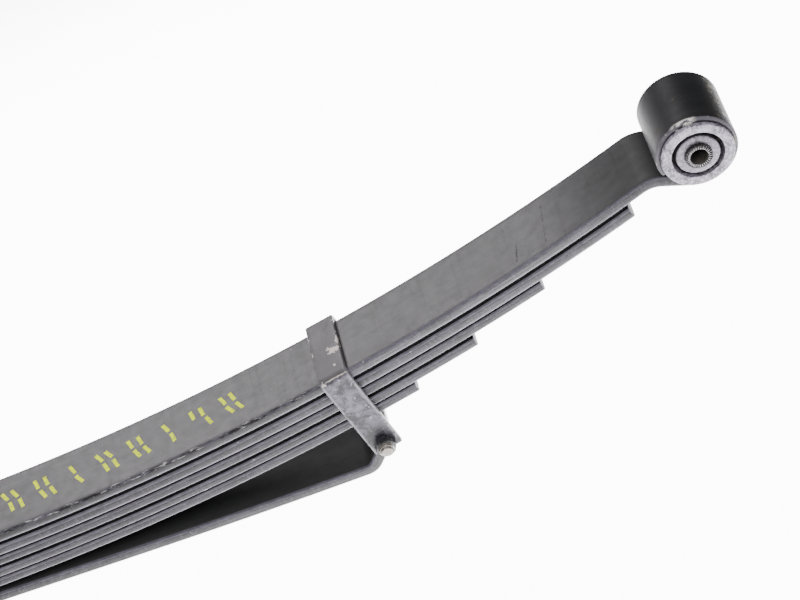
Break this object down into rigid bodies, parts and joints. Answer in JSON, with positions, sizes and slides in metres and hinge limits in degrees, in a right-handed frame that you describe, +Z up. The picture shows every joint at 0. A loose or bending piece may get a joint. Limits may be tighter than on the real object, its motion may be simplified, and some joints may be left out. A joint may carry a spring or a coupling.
{
  "type": "leaf spring",
  "caption": "Arched multi-leaf vehicle suspension spring with an upturned bushed eye at each end, a flat overload leaf below and a bolted rebound clip on each half.",
  "frame": {"origin": "on the centre bolt's axis, on the flat underside of the overload leaf where the axle seat sits", "axes": "+X along the spring towards the front eye, Y across the leaves, +Z up from the axle to the vehicle; the eyes curve up"},
  "size_m": [1.552, 0.0932, 0.2631],
  "materials": {
    "leaf_paint": "scuffed satin black paint over spring steel",
    "liner_plastic": "matt black",
    "bushing_rubber": "black rubber with grey paint overspray",
    "bushing_shell": "worn grey paint",
    "sleeve_steel": "turned steel with toothed ends",
    "clip_paint": "scuffed grey paint, chipped at the bends",
    "spacer_paint": "dark satin",
    "centre_steel": "dark oiled steel",
    "tube_steel": "dull steel",
    "clip_fastener": "dull zinc"
  },
  "bodies": {
    "leaf_pack": {"main_leaf": "leaf_paint", "second_leaf": "leaf_paint", "third_leaf": "leaf_paint", "fourth_leaf": "leaf_paint", "fifth_leaf": "leaf_paint", "overload_leaf": "leaf_paint", "liner_1_2": "liner_plastic", "liner_2_3": "liner_plastic", "liner_3_4": "liner_plastic", "liner_4_5": "liner_plastic", "centre_spacer": "spacer_paint", "centre_bolt": "centre_steel", "centre_nut": "centre_steel", "front_bushing_shell": "bushing_shell", "front_bushing_rubber": "bushing_rubber", "rear_bushing_shell": "bushing_shell", "rear_bushing_rubber": "bushing_rubber"},
    "front_sleeve": {"front_bushing_sleeve": "sleeve_steel"},
    "front_clip": {"front_clip_strap": "clip_paint", "front_clip_bolt": "clip_fastener", "front_clip_nut": "clip_fastener"},
    "front_tube": {"front_clip_tube": "tube_steel"},
    "rear_sleeve": {"rear_bushing_sleeve": "sleeve_steel"},
    "rear_clip": {"rear_clip_strap": "clip_paint", "rear_clip_bolt": "clip_fastener", "rear_clip_nut": "clip_fastener"},
    "rear_tube": {"rear_clip_tube": "tube_steel"}
  },
  "joints": [
    {"name": "front_sleeve_twist", "type": "hinge", "parent": "leaf_pack", "child": "front_sleeve", "pos_m": [0.74258, 0, 0.22374], "axis": [0, 1, 0], "range_deg": [-25, 25], "stiffness_Nm_per_rad": 60},
    {"name": "front_clip_slide", "type": "slide", "parent": "leaf_pack", "child": "front_clip", "axis": [0.9729, 0, 0.2311], "range_m": [-0.003, 0.003]},
    {"name": "front_tube_spin", "type": "hinge", "parent": "front_clip", "child": "front_tube", "pos_m": [0.43406, 0, 0.03994], "axis": [0, 1, 0], "continuous": true},
    {"name": "rear_sleeve_twist", "type": "hinge", "parent": "leaf_pack", "child": "rear_sleeve", "pos_m": [-0.74258, 0, 0.22374], "axis": [0, 1, 0], "range_deg": [-25, 25], "stiffness_Nm_per_rad": 60},
    {"name": "rear_clip_slide", "type": "slide", "parent": "leaf_pack", "child": "rear_clip", "axis": [-0.9729, 0, 0.2311], "range_m": [-0.003, 0.003]},
    {"name": "rear_tube_spin", "type": "hinge", "parent": "rear_clip", "child": "rear_tube", "pos_m": [-0.43406, 0, 0.03994], "axis": [0, 1, 0], "continuous": true}
  ]
}
